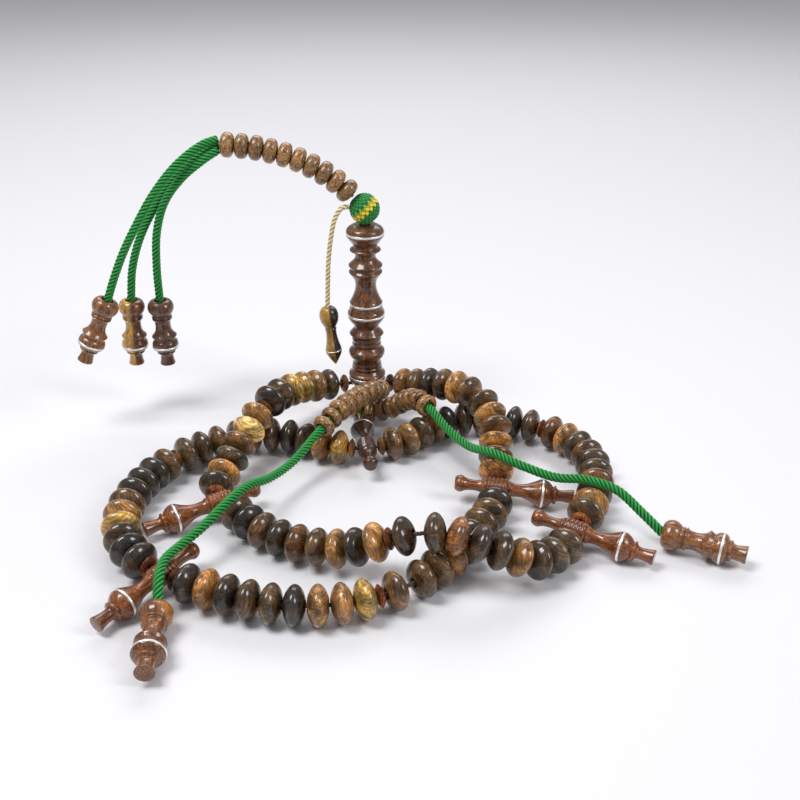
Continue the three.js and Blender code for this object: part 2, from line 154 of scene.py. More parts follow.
# ---------------------------------------------------------------- curves
def centripetal(points):
    """Points along the centripetal Catmull-Rom curve that the CAD source uses."""
    pts = [Vector(p) for p in points]
    ends = [2 * pts[0] - pts[1], *pts, 2 * pts[-1] - pts[-2]]
    found = []
    for i in range(len(pts) - 1):
        p0, p1, p2, p3 = ends[i:i + 4]
        d0, d1, d2 = (math.sqrt((b - a).length) for a, b in ((p0, p1), (p1, p2), (p2, p3)))
        t1 = ((p1 - p0) / d0 - (p2 - p0) / (d0 + d1) + (p2 - p1) / d1) * d1
        t2 = ((p2 - p1) / d1 - (p3 - p1) / (d1 + d2) + (p3 - p2) / d2) * d1
        for step in range(ROUTE_DIVISIONS):
            t = step / ROUTE_DIVISIONS
            found.append(p1 + t1 * t + (3 * (p2 - p1) - 2 * t1 - t2) * t * t
                         + (2 * (p1 - p2) + t1 + t2) * t ** 3)
    found.append(pts[-1])
    return found


class Line:
    """A curve with places by length along it, in mm."""

    def __init__(self, points):
        self.points = centripetal(points)
        self.lengths = [0.0]
        for a, b in zip(self.points, self.points[1:]):
            self.lengths.append(self.lengths[-1] + (b - a).length)
        self.total = self.lengths[-1]

    def at(self, length):
        if length <= 0:
            return self.points[0] + self.along(0) * length
        if length >= self.total:
            return self.points[-1] + self.along(self.total) * (length - self.total)
        low, high = 0, len(self.lengths) - 1
        while high - low > 1:
            middle = (low + high) // 2
            if self.lengths[middle] <= length:
                low = middle
            else:
                high = middle
        share = (length - self.lengths[low]) / (self.lengths[high] - self.lengths[low])
        return self.points[low].lerp(self.points[high], share)

    def along(self, length):
        reach = 0.05
        a = min(max(length - reach, 0), self.total - 2 * reach)
        return (self.at_inside(a + 2 * reach) - self.at_inside(a)).normalized()

    def at_inside(self, length):
        return self.at(min(max(length, 1e-6), self.total - 1e-6))


def from_knot(points):
    return [tuple(a + b for a, b in zip(KNOT, point)) for point in points]


def placement(position, axis):
    """A place with local +Z along the axis and local +X as near upwards as it can be."""
    along = Vector(axis).normalized()
    upright = Vector((1, 0, 0)) if abs(along.z) > 0.99 else Vector((0, 0, 1))
    side = along.cross(upright).normalized()
    up = side.cross(along)
    turn = Matrix((up, side, along)).transposed().to_4x4()
    return Matrix.Translation(Vector(position)) @ turn


# ---------------------------------------------------------------- colours
WHITE = (1.0, 1.0, 1.0, 1.0)


def rgb(r, g, b):
    def linear(value):
        value /= 255
        return value / 12.92 if value <= 0.04045 else ((value + 0.055) / 1.055) ** 2.4
    return (linear(r), linear(g), linear(b), 1.0)


BEAD_TONES = {
    "k": (50, 41, 33), "d": (76, 61, 43), "m": (100, 71, 44), "g": (140, 102, 58), "c": (206, 176, 114),
    "y": (140, 112, 56), "o": (128, 82, 44),
}


# ---------------------------------------------------------------- meshes with a grain and a tint
def random_grain():
    return Vector([random.uniform(-GRAIN_RANGE, GRAIN_RANGE) for _ in range(3)])


class Shape:
    """Collects closed bodies into one mesh, in mm. grain is each point's place in its own piece of wood."""

    def __init__(self):
        self.verts, self.faces, self.mats = [], [], []
        self.grain, self.tint, self.shade = [], [], []

    def point(self, place, grain, tint, shade=1.0):
        self.verts.append(Vector(place) * MM)
        self.grain.append(Vector(grain))
        self.tint.append(tint)
        self.shade.append(shade)
        return len(self.verts) - 1

    def lathe(self, profile, matrix, sides, tint=WHITE, closed=False, rings=()):
        """Turns [(radius, height)] about the local Z. rings are height ranges of the second material."""
        shift = random_grain()
        rows = []
        for radius, height in profile:
            count = 1 if radius < 1e-6 else sides
            row = []
            for i in range(count):
                angle = 2 * math.pi * i / sides
                local = Vector((radius * math.cos(angle), radius * math.sin(angle), height))
                row.append(self.point(matrix @ local, local + shift, tint))
            rows.append((row, height))
        pairs = list(zip(rows, rows[1:] + rows[:1])) if closed else list(zip(rows, rows[1:]))
        for (low, z0), (high, z1) in pairs:
            middle = (z0 + z1) / 2
            mat = 1 if any(a <= middle <= b for a, b in rings) else 0
            for i in range(sides):
                j = (i + 1) % sides
                if len(low) == 1 and len(high) == 1:
                    continue
                if len(low) == 1:
                    face = (low[0], high[j], high[i])
                elif len(high) == 1:
                    face = (low[i], low[j], high[0])
                else:
                    face = (low[i], low[j], high[j], high[i])
                self.faces.append(face)
                self.mats.append(mat)

    def make(self, name, materials, sharp=40):
        mesh = bpy.data.meshes.new(name)
        mesh.from_pydata(self.verts, [], self.faces)
        mesh.polygons.foreach_set("material_index", self.mats)
        mesh.polygons.foreach_set("use_smooth", [True] * len(self.faces))
        for material in materials:
            mesh.materials.append(material)
        grain = mesh.attributes.new("grain", "FLOAT_VECTOR", "POINT")
        grain.data.foreach_set("vector", [c for v in self.grain for c in v])
        tint = mesh.attributes.new("tint", "FLOAT_COLOR", "POINT")
        tint.data.foreach_set("color", [c for v in self.tint for c in v])
        shade = mesh.attributes.new("shade", "FLOAT", "POINT")
        shade.data.foreach_set("value", self.shade)
        mesh.set_sharp_from_angle(angle=math.radians(sharp))
        mesh.validate()
        obj = bpy.data.objects.new(name, mesh)
        bpy.context.collection.objects.link(obj)
        return obj


def outward(obj):
    """Points every face away from its body."""
    bm = bmesh.new()
    bm.from_mesh(obj.data)
    bmesh.ops.recalc_face_normals(bm, faces=bm.faces)
    bm.to_mesh(obj.data)
    bm.free()


def softened(profile, reach, passes=2):
    """Cuts each corner of a profile, so that an edge catches the light."""
    points = [Vector(p) for p in profile]
    for _ in range(passes):
        new = [points[0]]
        for before, here, after in zip(points, points[1:], points[2:]):
            a, b = before - here, after - here
            new.append(here + a.normalized() * min(reach, 0.3 * a.length))
            new.append(here + b.normalized() * min(reach, 0.3 * b.length))
        new.append(points[-1])
        points, reach = new, reach / 2
    return [(p.x, p.y) for p in points]


BEAD_STEPS = 9                     # points on a bead's outline from its rim to its face


def bead_profile(radius, thickness, bore, power):
    """A bored rondelle with a chamfer at the bore. A power of 2 is an ellipse, and less sharpens the rim."""
    half = thickness / 2
    points = []
    for i in range(-BEAD_STEPS, BEAD_STEPS + 1):
        angle = math.pi / 2 * i / BEAD_STEPS
        r = radius * abs(math.cos(angle)) ** (2 / power)
        z = half * math.copysign(abs(math.sin(angle)) ** (2 / power), angle)
        if r > bore + 0.35:
            points.append((r, z))
    edge = points[-1][1]
    return [(bore, -edge + 0.25), (bore + 0.22, -edge), *points, (bore + 0.22, edge), (bore, edge - 0.25)]


# ---------------------------------------------------------------- materials
def new_material(name, roughness, coat=0.0, coat_roughness=0.1, metallic=0.0, sheen=0.0):
    material = bpy.data.materials.new(name)
    material.use_nodes = True
    tree = material.node_tree
    shader = tree.nodes["Principled BSDF"]
    shader.inputs["Roughness"].default_value = roughness
    shader.inputs["Metallic"].default_value = metallic
    shader.inputs["Coat Weight"].default_value = coat
    shader.inputs["Coat Roughness"].default_value = coat_roughness
    shader.inputs["Sheen Weight"].default_value = sheen
    return material, tree, shader


def node(tree, kind, **values):
    made = tree.nodes.new(kind)
    for key, value in values.items():
        if key in ("blend_type", "data_type", "attribute_name", "wave_type", "bands_direction"):
            setattr(made, key, value)
        else:
            made.inputs[key].default_value = value
    return made


def attribute(tree, name):
    return node(tree, "ShaderNodeAttribute", attribute_name=name)


def noise(tree, vector, scale, detail=3.0, rough=0.55, distortion=0.0, stretch=(1, 1, 1)):
    mapping = node(tree, "ShaderNodeMapping", Scale=stretch)
    tree.links.new(vector, mapping.inputs["Vector"])
    made = node(tree, "ShaderNodeTexNoise", Scale=scale, Detail=detail, Roughness=rough,
                Distortion=distortion)
    tree.links.new(mapping.outputs["Vector"], made.inputs["Vector"])
    return made.outputs["Fac"]


def ramp(tree, value, stops):
    made = tree.nodes.new("ShaderNodeValToRGB")
    elements = made.color_ramp.elements
    while len(elements) < len(stops):
        elements.new(0.5)
    for element, (place, colour) in zip(elements, stops):
        element.position = place
        element.color = colour if len(colour) == 4 else (*colour, 1.0)
    tree.links.new(value, made.inputs["Fac"])
    return made.outputs["Color"]


def grey(value):
    return (value, value, value, 1.0)


def mixed(tree, blend_type, factor, a, b):
    made = node(tree, "ShaderNodeMix", data_type="RGBA", blend_type=blend_type)
    if isinstance(factor, (int, float)):
        made.inputs[0].default_value = factor
    else:
        tree.links.new(factor, made.inputs[0])
    for socket, value in ((made.inputs[6], a), (made.inputs[7], b)):
        if isinstance(value, tuple):
            socket.default_value = value
        else:
            tree.links.new(value, socket)
    return made.outputs[2]


def add_bump(tree, shader, height, strength, distance=0.0001):
    bump = node(tree, "ShaderNodeBump", Strength=strength, Distance=distance)
    tree.links.new(height, bump.inputs["Height"])
    tree.links.new(bump.outputs["Normal"], shader.inputs["Normal"])


def add_roughness(tree, shader, value, low, high):
    made = node(tree, "ShaderNodeMapRange", **{"To Min": low, "To Max": high})
    tree.links.new(value, made.inputs["Value"])
    tree.links.new(made.outputs["Result"], shader.inputs["Roughness"])


def streaked_wood(name, stretch, coat=0.9):
    """Polished wood with fine growth lines, bright or dark. The tint is each piece's own base colour."""
    material, tree, shader = new_material(name, 0.38, coat=coat, coat_roughness=0.05)
    shader.inputs["Specular IOR Level"].default_value = 0.2
    grain = attribute(tree, "grain").outputs["Vector"]
    tint = attribute(tree, "tint").outputs["Color"]
    mapping = node(tree, "ShaderNodeMapping", Scale=stretch)
    tree.links.new(grain, mapping.inputs["Vector"])
    wave = node(tree, "ShaderNodeTexWave", wave_type="BANDS", bands_direction="Y", Scale=0.42,
                Distortion=11.0, Detail=4.0, **{"Detail Scale": 0.5, "Detail Roughness": 0.62})
    tree.links.new(mapping.outputs["Vector"], wave.inputs["Vector"])
    rings = wave.outputs["Fac"]
    bands = noise(tree, grain, 0.42, detail=4, rough=0.6, distortion=0.9, stretch=stretch)
    lines = noise(tree, grain, 3.0, detail=4, rough=0.7, distortion=0.4, stretch=stretch)
    patches = noise(tree, grain, 0.26, detail=2, distortion=0.3)
    band_value = ramp(tree, bands, [(0.32, grey(0.42)), (0.5, grey(0.95)), (0.70, grey(1.9))])
    ring_value = ramp(tree, rings, [(0.10, grey(0.45)), (0.45, grey(0.9)), (0.80, grey(1.1)),
                                    (0.97, (2.6, 2.3, 1.8, 1))])
    line_value = ramp(tree, lines, [(0.34, grey(0.45)), (0.52, grey(1.0)), (0.74, grey(1.5))])
    patch_value = ramp(tree, patches, [(0.40, (0.62, 0.62, 0.62, 1)), (0.62, (1.9, 1.7, 1.35, 1))])
    colour = mixed(tree, "MULTIPLY", 1.0, tint, band_value)
    colour = mixed(tree, "MULTIPLY", 0.34, colour, ring_value)
    colour = mixed(tree, "MULTIPLY", 0.85, colour, line_value)
    colour = mixed(tree, "MULTIPLY", 0.9, colour, patch_value)
    tree.links.new(colour, shader.inputs["Base Color"])
    add_roughness(tree, shader, lines, 0.28, 0.5)
    add_bump(tree, shader, lines, 0.06)
    return material


def speckled_wood(name, dark):
    """Palm-like wood: short dark fibres on a warm ground."""
    material, tree, shader = new_material(name, 0.32, coat=0.45, coat_roughness=0.1)
    grain = attribute(tree, "grain").outputs["Vector"]
    tint = attribute(tree, "tint").outputs["Color"]
    fibres = noise(tree, grain, 2.3, detail=2, rough=0.5, distortion=0.2, stretch=(1, 0.28, 1))
    flecks = noise(tree, grain, 4.6, detail=1, rough=0.5, stretch=(1, 0.3, 1))
    clouds = noise(tree, grain, 0.35, detail=2)
    fibre_mask = ramp(tree, fibres, [(0.40, grey(1.0)), (0.50, grey(0.0))])
    fleck_mask = ramp(tree, flecks, [(0.36, grey(1.0)), (0.46, grey(0.0))])
    cloud_value = ramp(tree, clouds, [(0.3, grey(0.75)), (0.7, grey(1.3))])
    colour = mixed(tree, "MULTIPLY", 1.0, tint, cloud_value)
    colour = mixed(tree, "MIX", fleck_mask, colour, mixed(tree, "MULTIPLY", 1.0, colour, dark))
    colour = mixed(tree, "MIX", fibre_mask, colour, mixed(tree, "MULTIPLY", 1.0, colour, dark))
    tree.links.new(colour, shader.inputs["Base Color"])
    add_roughness(tree, shader, fibres, 0.45, 0.22)
    add_bump(tree, shader, fibres, 0.3)
    return material


def turned_wood(name, light, dark, sapwood=None):
    """Turned, varnished wood: fibres and dark pores along the piece's axis, lighter and darker bands."""
    material, tree, shader = new_material(name, 0.3, coat=0.85, coat_roughness=0.04)
    shader.inputs["Specular IOR Level"].default_value = 0.35
    grain = attribute(tree, "grain").outputs["Vector"]
    bands = noise(tree, grain, 0.6, detail=4, rough=0.6, distortion=0.6, stretch=(1, 1, 0.08))
    fibres = noise(tree, grain, 2.2, detail=4, rough=0.68, distortion=0.2, stretch=(1, 1, 0.045))
    pores = noise(tree, grain, 5.0, detail=2, rough=0.6, distortion=0.1, stretch=(1, 1, 0.07))
    middle = tuple(0.45 * a + 0.55 * b for a, b in zip(light, dark))
    colour = ramp(tree, fibres, [(0.34, dark), (0.50, middle), (0.66, light)])
    if sapwood:
        shade = attribute(tree, "shade").outputs["Fac"]
        pale = ramp(tree, fibres, [(0.3, tuple(0.5 * c for c in sapwood[:3])), (0.62, sapwood)])
        colour = mixed(tree, "MIX", shade, pale, colour)
    band_value = ramp(tree, bands, [(0.34, grey(0.55)), (0.52, grey(1.0)), (0.68, grey(1.45))])
    colour = mixed(tree, "MULTIPLY", 0.9, colour, band_value)
    pore_value = ramp(tree, pores, [(0.38, grey(0.3)), (0.48, grey(1.0)), (0.8, grey(1.1))])
    colour = mixed(tree, "MULTIPLY", 0.8, colour, pore_value)
    tree.links.new(colour, shader.inputs["Base Color"])
    add_roughness(tree, shader, pores, 0.5, 0.26)
    add_bump(tree, shader, fibres, 0.3)
    return material


def cord_material(name, painted_groove_shade, ridge_colour_and_highlight, roughness=0.55, sheen=0.5, gloss=0.0):
    """Twisted cord: painted shade darkens it between the strands and a painted highlight lightens each
    strand's crest, with fine threads along each strand.
    """
    material, tree, shader = new_material(name, roughness, sheen=sheen, coat=gloss, coat_roughness=0.3)
    shader.inputs["Sheen Roughness"].default_value = 0.4
    grain = attribute(tree, "grain").outputs["Vector"]
    shade = attribute(tree, "shade").outputs["Fac"]
    threads = noise(tree, grain, 4.5, detail=3, rough=0.65, stretch=(1.6, 0.16, 1))
    # The colour runs from painted shade in the grooves to the strand's own colour, painted lighter on its
    # crest as a highlight.
    colour = ramp(tree, shade, [(0.1, painted_groove_shade), (0.62, tuple((a + 2 * b) / 3 for a, b in zip(painted_groove_shade, ridge_colour_and_highlight))),
                                (1.0, ridge_colour_and_highlight)])
    thread_value = ramp(tree, threads, [(0.3, grey(0.62)), (0.7, grey(1.25))])
    colour = mixed(tree, "MULTIPLY", 0.9, colour, thread_value)
    tree.links.new(colour, shader.inputs["Base Color"])
    add_roughness(tree, shader, threads, roughness + 0.12, roughness - 0.1)
    add_bump(tree, shader, threads, 0.5, 0.00015)
    return material


def metal_material():
    material, tree, shader = new_material("silver_wire", 0.36, metallic=0.85)
    grain = attribute(tree, "grain").outputs["Vector"]
    wear = noise(tree, grain, 1.4, detail=4, rough=0.6)
    tree.links.new(ramp(tree, wear, [(0.3, (0.84, 0.82, 0.77, 1)), (0.65, (0.95, 0.94, 0.92, 1))]),
                   shader.inputs["Base Color"])
    add_roughness(tree, shader, wear, 0.44, 0.3)
    add_bump(tree, shader, wear, 0.04)
    return material


LOOP_WOOD = streaked_wood("loop_bead_wood", (0.26, 1.0, 1.3))
DISC_WOOD = streaked_wood("disc_wood", (0.3, 1.0, 1.2), coat=0.3)
COUNTER_WOOD = speckled_wood("counter_bead_wood", (0.27, 0.20, 0.15, 1))
TAIL_WOOD = speckled_wood("tail_bead_wood", (0.34, 0.26, 0.20, 1))
IMAM_WOOD = turned_wood("imam_wood", rgb(142, 88, 46), rgb(38, 21, 11))
BAR_WOOD = turned_wood("crossbar_wood", rgb(172, 98, 40), rgb(66, 30, 12))
DARK_BAR_WOOD = turned_wood("dark_crossbar_wood", rgb(96, 54, 28), rgb(36, 20, 12))
FINIAL_WOOD = turned_wood("finial_wood", rgb(172, 112, 60), rgb(80, 44, 22))
PATCHED_FINIAL_WOOD = turned_wood("patched_finial_wood", rgb(156, 96, 50), rgb(70, 38, 20),
                                  sapwood=rgb(200, 128, 54))
DARK_FINIAL_WOOD = turned_wood("dark_finial_wood", rgb(120, 76, 46), rgb(42, 24, 15))
SAP_FINIAL_WOOD = turned_wood("sapwood_finial_wood", rgb(142, 84, 42), rgb(62, 32, 16),
                              sapwood=rgb(214, 164, 76))
PENDANT_WOOD = turned_wood("pendant_wood", rgb(66, 42, 30), rgb(24, 16, 12),
                           sapwood=rgb(196, 148, 62))
SILVER = metal_material()
# Each cord material's first colour is painted shade for the grooves between strands; its second is the
# strand's own colour with a painted highlight on the crest.
GREEN_CORD = cord_material("green_cord", rgb(0, 44, 14), rgb(18, 160, 58), sheen=0.15)
GOLD_CORD = cord_material("gold_cord", rgb(150, 116, 60), rgb(255, 240, 188), roughness=0.42, gloss=0.2)
DARK_STRING = cord_material("inner_string", rgb(26, 18, 12), rgb(70, 52, 38))
KNOT_GREEN = cord_material("knot_green", rgb(0, 52, 18), rgb(14, 150, 58), roughness=0.6, sheen=0.2)
KNOT_YELLOW = cord_material("knot_yellow", rgb(150, 128, 10), rgb(250, 226, 40), roughness=0.6)

BODY_OF = {}
for body_name, members in frame["record"]["behaviour"]["bodies"].items():
    for member in members:
        BODY_OF[member] = body_name


def stands_for(obj, node_name):
    """Gives a piece the body and the CAD node that it stands for."""
    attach(obj, BODY_OF[node_name])
    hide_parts(node_name)


def finished(shape, node_name, material):
    """Makes a shape's mesh, faces out, as the piece that stands for a node."""
    obj = shape.make(f"{node_name}_look", [material])
    outward(obj)
    stands_for(obj, node_name)


# ---------------------------------------------------------------- camera, floor and light
camera_data = bpy.data.cameras.new("camera")
camera = bpy.data.objects.new("camera", camera_data)
bpy.context.collection.objects.link(camera)
camera_data.lens = 48
camera_data.sensor_width = 36
camera.location = (0.004, -0.300, 0.160)
camera.rotation_euler = (math.radians(62.2), 0, math.radians(-1.2))
camera_data.clip_start = 0.005
bpy.context.scene.camera = camera

floor_mesh = bpy.data.meshes.new("floor")
floor_mesh.from_pydata([(-3, -2, 0), (3, -2, 0), (3, 4, 0), (-3, 4, 0)], [], [(0, 1, 2, 3)])
floor = bpy.data.objects.new("floor", floor_mesh)
bpy.context.collection.objects.link(floor)
floor.location.z = -0.00005       # just below the part, so that the two don't share a plane
floor_material, _, floor_shader = new_material("floor", 0.5)
floor_shader.inputs["Base Color"].default_value = (0.72, 0.72, 0.745, 1)
floor_mesh.materials.append(floor_material)

world = bpy.data.worlds.new("world")
world.use_nodes = True
world.node_tree.nodes["Background"].inputs["Color"].default_value = (0.98, 0.97, 1.0, 1)
world.node_tree.nodes["Background"].inputs["Strength"].default_value = 0.36
bpy.context.scene.world = world


def area_light(name, place, target, size, power, colour=(1, 1, 1)):
    data = bpy.data.lights.new(name, "AREA")
    data.shape = "RECTANGLE"
    data.size, data.size_y = size
    data.energy = power
    data.color = colour
    light = bpy.data.objects.new(name, data)
    light.location = place
    light.rotation_euler = (Vector(target) - Vector(place)).to_track_quat("-Z", "Y").to_euler()
    bpy.context.collection.objects.link(light)


area_light("key", (-0.35, -0.15, 0.75), (0, -0.05, 0), (0.30, 0.4), 5.0)
area_light("window", (0.55, -0.30, 0.50), (0, -0.05, 0.02), (0.22, 0.3), 2.2, (0.97, 0.98, 1.0))
area_light("back", (0.05, 0.55, 0.55), (0, -0.05, 0.02), (0.7, 0.3), 2.2, (1.0, 0.97, 0.98))
bpy.context.scene.view_settings.view_transform = "Standard"


# ---------------------------------------------------------------- cords
END_ROUNDING = 0.45                # a cord narrows over this last length
END_NARROWING = 0.22               # and by this share of its radius


def frames_along(line, length, step):
    """Centres and a twist-free pair of cross directions, at even steps from the line's start."""
    count = max(8, int(round(length / step)))
    side = None
    found = []
    for i in range(count + 1):
        here = length * i / count
        centre, along = line.at(here), line.along(here)
        if side is None:
            side = along.orthogonal().normalized()
        side = (side - along * side.dot(along)).normalized()
        found.append((centre, side, along.cross(side), here))
    return found


def twisted_tube(name, line, length, radius, lay, material, step=0.32):
    """A cord of strands laid round each other. Each strand stands proud of the grooves beside it, and its
    bulge is kept as each point's shade, for the painted shade in the grooves and the painted highlight on the
    crests.
    """
    shape = Shape()
    strands, lead, depth = lay
    per_strand = 8 if strands > 4 else 10
    sides = strands * per_strand
    rows = []
    frames = frames_along(line, length, step)
    for centre, side, other, here in frames:
        turn = 2 * math.pi * here / lead
        from_end = min(here, length - here)
        pull = 1 - END_NARROWING * max(0.0, 1 - from_end / END_ROUNDING)
        row = []
        for i in range(sides):
            share = (i % per_strand) / per_strand
            bulge = math.sin(math.pi * share)
            r = (radius - depth * (1 - bulge ** 0.7)) * pull
            angle = 2 * math.pi * i / sides + turn
            spot = centre + side * (r * math.cos(angle)) + other * (r * math.sin(angle))
            row.append(shape.point(spot, (i * radius * 2 * math.pi / sides, here, 0), WHITE, bulge))
        rows.append(row)
    for low, high in zip(rows, rows[1:]):
        for i in range(sides):
            j = (i + 1) % sides
            shape.faces.append((low[i], low[j], high[j], high[i]))
            shape.mats.append(0)
    for row, (centre, _, _, here), order in ((rows[0], frames[0], -1), (rows[-1], frames[-1], 1)):
        # The tip gets a shade of 0.3, so the cord's end is painted darker, as painted shade.
        tip = shape.point(centre, (0, here, 1), WHITE, 0.3)
        for i in range(sides):
            j = (i + 1) % sides
            shape.faces.append((row[i], row[j], tip)[::order])
            shape.mats.append(0)
    obj = shape.make(name, [material], sharp=80)
    outward(obj)
    return obj, [f[0] * MM for f in frames]


cords = {}


def green_cord(key, line, node_name):
    """Lays one green cord and keeps it under its key."""
    obj, path = twisted_tube(f"{node_name}_look", line, line.total + CORD_INSERT, CORD_RADIUS, CORD_LAY,
                             GREEN_CORD)
    stands_for(obj, node_name)
    cords[key] = (obj, path, line)


def inner_string(node_name, line, radius=STRING_RADIUS, lay=STRING_LAY, step=0.32):
    obj, _ = twisted_tube(f"{node_name}_look", line, line.total, radius, lay, DARK_STRING, step)
    stands_for(obj, node_name)


for side, route in TAIL_CORD_ROUTES.items():
    green_cord(f"tail_{side}", Line(from_knot(route)), f"tail_cord_{side}")
for side, route in COUNTER_ROUTES.items():
    green_cord(f"counter_{side}", Line(route), f"counter_{side}_cord")
gold_line = Line(from_knot(GOLD_CORD_ROUTE))
gold, gold_path = twisted_tube("gold_cord_look", gold_line, gold_line.total + GOLD_INSERT, GOLD_RADIUS,
                               GOLD_LAY, GOLD_CORD, step=0.16)
stands_for(gold, "gold_cord")

loop_line = Line([p[1:] if p[0] == "bar" else p for p in LOOP_ROUTE])
inner_string("loop_string", loop_line, step=0.8)
tail_line = Line(from_knot(TAIL_STRING_ROUTE))
inner_string("tail_string", tail_line)
inner_string("imam_strands", Line(IMAM_STRANDS_ROUTE), IMAM_STRANDS_RADIUS, IMAM_STRANDS_LAY, step=0.8)

# ---------------------------------------------------------------- loop beads, discs
DISC_SHAPE = softened([(1.12, -0.8), (1.45, -0.95), (2.2, -0.55), (2.87, 0), (2.2, 0.55), (1.45, 0.95),
                       (1.12, 0.8)], 0.1, 1)


def loop_tint(letter):
    r, g, b = BEAD_TONES[letter]
    lift = random.uniform(0.86, 1.14)
    warm = random.uniform(-5, 5)
    return rgb(min(255, r * lift + warm), min(255, g * lift), max(0, b * lift - warm))


def put_bead(shape, line, length, radius, thickness, bore, tint, power=1.88, sides=44):
    spin = Matrix.Rotation(random.uniform(0, 2 * math.pi), 4, "Z")
    wobble = Matrix.Rotation(math.radians(random.uniform(-1.5, 1.5)), 4, "X")
    matrix = placement(line.at(length), line.along(length)) @ wobble @ spin
    shape.lathe(bead_profile(radius, thickness, bore, power), matrix, sides, tint, closed=True)


def put_disc(shape, length):
    middle = length + DISC_THICKNESS / 2
    matrix = placement(loop_line.at(middle), loop_line.along(middle))
    tint = rgb(*[c * random.uniform(0.9, 1.1) for c in (108, 66, 40)])
    shape.lathe(DISC_SHAPE, matrix, 36, tint, closed=True)


bar_indexes = [i for i, p in enumerate(LOOP_ROUTE) if p[0] == "bar"]
stops = [IMAM_HALF_WIDTH, *[loop_line.lengths[ROUTE_DIVISIONS * i] for i in bar_indexes],
         loop_line.total - IMAM_HALF_WIDTH]
for index, (beads, loose, tones) in enumerate(GROUPS):
    number = index + 1
    start = stops[index] + (0 if index == 0 else BAR_HALF_WIDTH)
    end = stops[index + 1] - (0 if index == len(GROUPS) - 1 else BAR_HALF_WIDTH)
    free = SLIDE_GAP + 2 * LOOSE_GAP if loose else 0
    pitch = (end - start - 3 * DISC_THICKNESS - free) / beads
    loose_order = {"start": 0, "middle": beads // 2, "end": beads - 1, None: -1}[loose]
    runs = [Shape(), Shape()]
    length = start
    disc_shapes = [Shape(), Shape()]
    imam_disc = Shape()
    put_disc(imam_disc if loose == "start" else disc_shapes[0], length)
    length += DISC_THICKNESS
    for bead in range(beads):
        if bead == beads // 2:
            put_disc(disc_shapes[0], length)
            length += DISC_THICKNESS
        tint = loop_tint(tones[bead])
        radius = BEAD_RADIUS * random.uniform(0.965, 1.005)
        if bead == loose_order:
            length += LOOSE_GAP + (SLIDE_GAP if loose == "start" else 0)
            single = Shape()
            put_bead(single, loop_line, length + pitch / 2, radius, LOOSE_SHARE * pitch, BORE, tint)
            finished(single, f"loose_bead_{number}", LOOP_WOOD)
            length += pitch + LOOSE_GAP + (0 if loose == "start" else SLIDE_GAP)
        else:
            run = runs[0 if bead < beads // 2 else 1]
            put_bead(run, loop_line, length + pitch / 2, radius, pitch, BORE, tint)
            length += pitch
    put_disc(imam_disc if loose == "end" else disc_shapes[1], length)
    for letter, run, discs in zip("ab", runs, disc_shapes):
        finished(run, f"beads_{number}{letter}", LOOP_WOOD)
        if discs.verts:
            obj = discs.make(f"discs_{number}{letter}_look", [DISC_WOOD])
            outward(obj)
            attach(obj, BODY_OF[f"beads_{number}{letter}"])
            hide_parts(f"beads_{number}{letter}")
    if imam_disc.verts:
        finished(imam_disc, f"imam_disc_{number}", DISC_WOOD)


# ---------------------------------------------------------------- turned pieces
def turned_piece(name, profile, matrix, materials, rings=(), sides=64, bores=(), shade=None, reach=0.05):
    """A solid turned piece. bores are (from, to, radius) in the row frame, in mm."""
    shape = Shape()
    shape.lathe(softened(profile, reach), matrix, sides, rings=rings)
    obj = shape.make(name, materials, sharp=180)
    outward(obj)
    for start, end, radius in bores:
        axis = Vector(end) - Vector(start)
        tool = Shape()
        tool.lathe([(0, 0), (radius, 0), (radius, axis.length), (0, axis.length)], placement(start, axis), 32)
        cutter = tool.make("cutter", [materials[0]])
        outward(cutter)
        modifier = obj.modifiers.new("bore", "BOOLEAN")
        modifier.operation = "DIFFERENCE"
        modifier.solver = "EXACT"
        modifier.object = cutter
        graph = bpy.context.evaluated_depsgraph_get()
        mesh = bpy.data.meshes.new_from_object(obj.evaluated_get(graph))
        obj.modifiers.clear()
        obj.data = mesh
        bpy.data.objects.remove(cutter)
    mesh = obj.data
    mesh.name = name
    back = matrix.inverted()
    offset = random_grain()
    locals_ = [back @ (v.co / MM) for v in mesh.vertices]
    mesh.attributes["grain"].data.foreach_set("vector", [c for p in locals_ for c in p + offset])
    if shade:
        mesh.attributes["shade"].data.foreach_set("value", [shade(p, matrix) for p in locals_])
    mesh.set_sharp_from_angle(angle=math.radians(50))
    return obj


def ring_bulge(profile, height, half=0.34, proud=0.12):
    """Sets a half-round silver wire into a profile, and gives its height range."""
    radius = None
    for (r0, z0), (r1, z1) in zip(profile, profile[1:]):
        if min(z0, z1) <= height <= max(z0, z1) and z1 != z0:
            radius = r0 + (r1 - r0) * (height - z0) / (z1 - z0)
    kept_low = [p for p in profile if p[1] < height - half - 0.15]
    kept_high = [p for p in profile if p[1] > height + half + 0.15]
    wire = [(radius, height - half - 0.04), (radius - 0.12, height - half)]
    for i in range(7):
        angle = math.pi * i / 6
        wire.append((radius - 0.1 + (proud + 0.1) * math.sin(angle), height - half * math.cos(angle)))
    wire += [(radius - 0.12, height + half), (radius, height + half + 0.04)]
    return kept_low + wire + kept_high, (height - half * 1.02, height + half * 1.02)


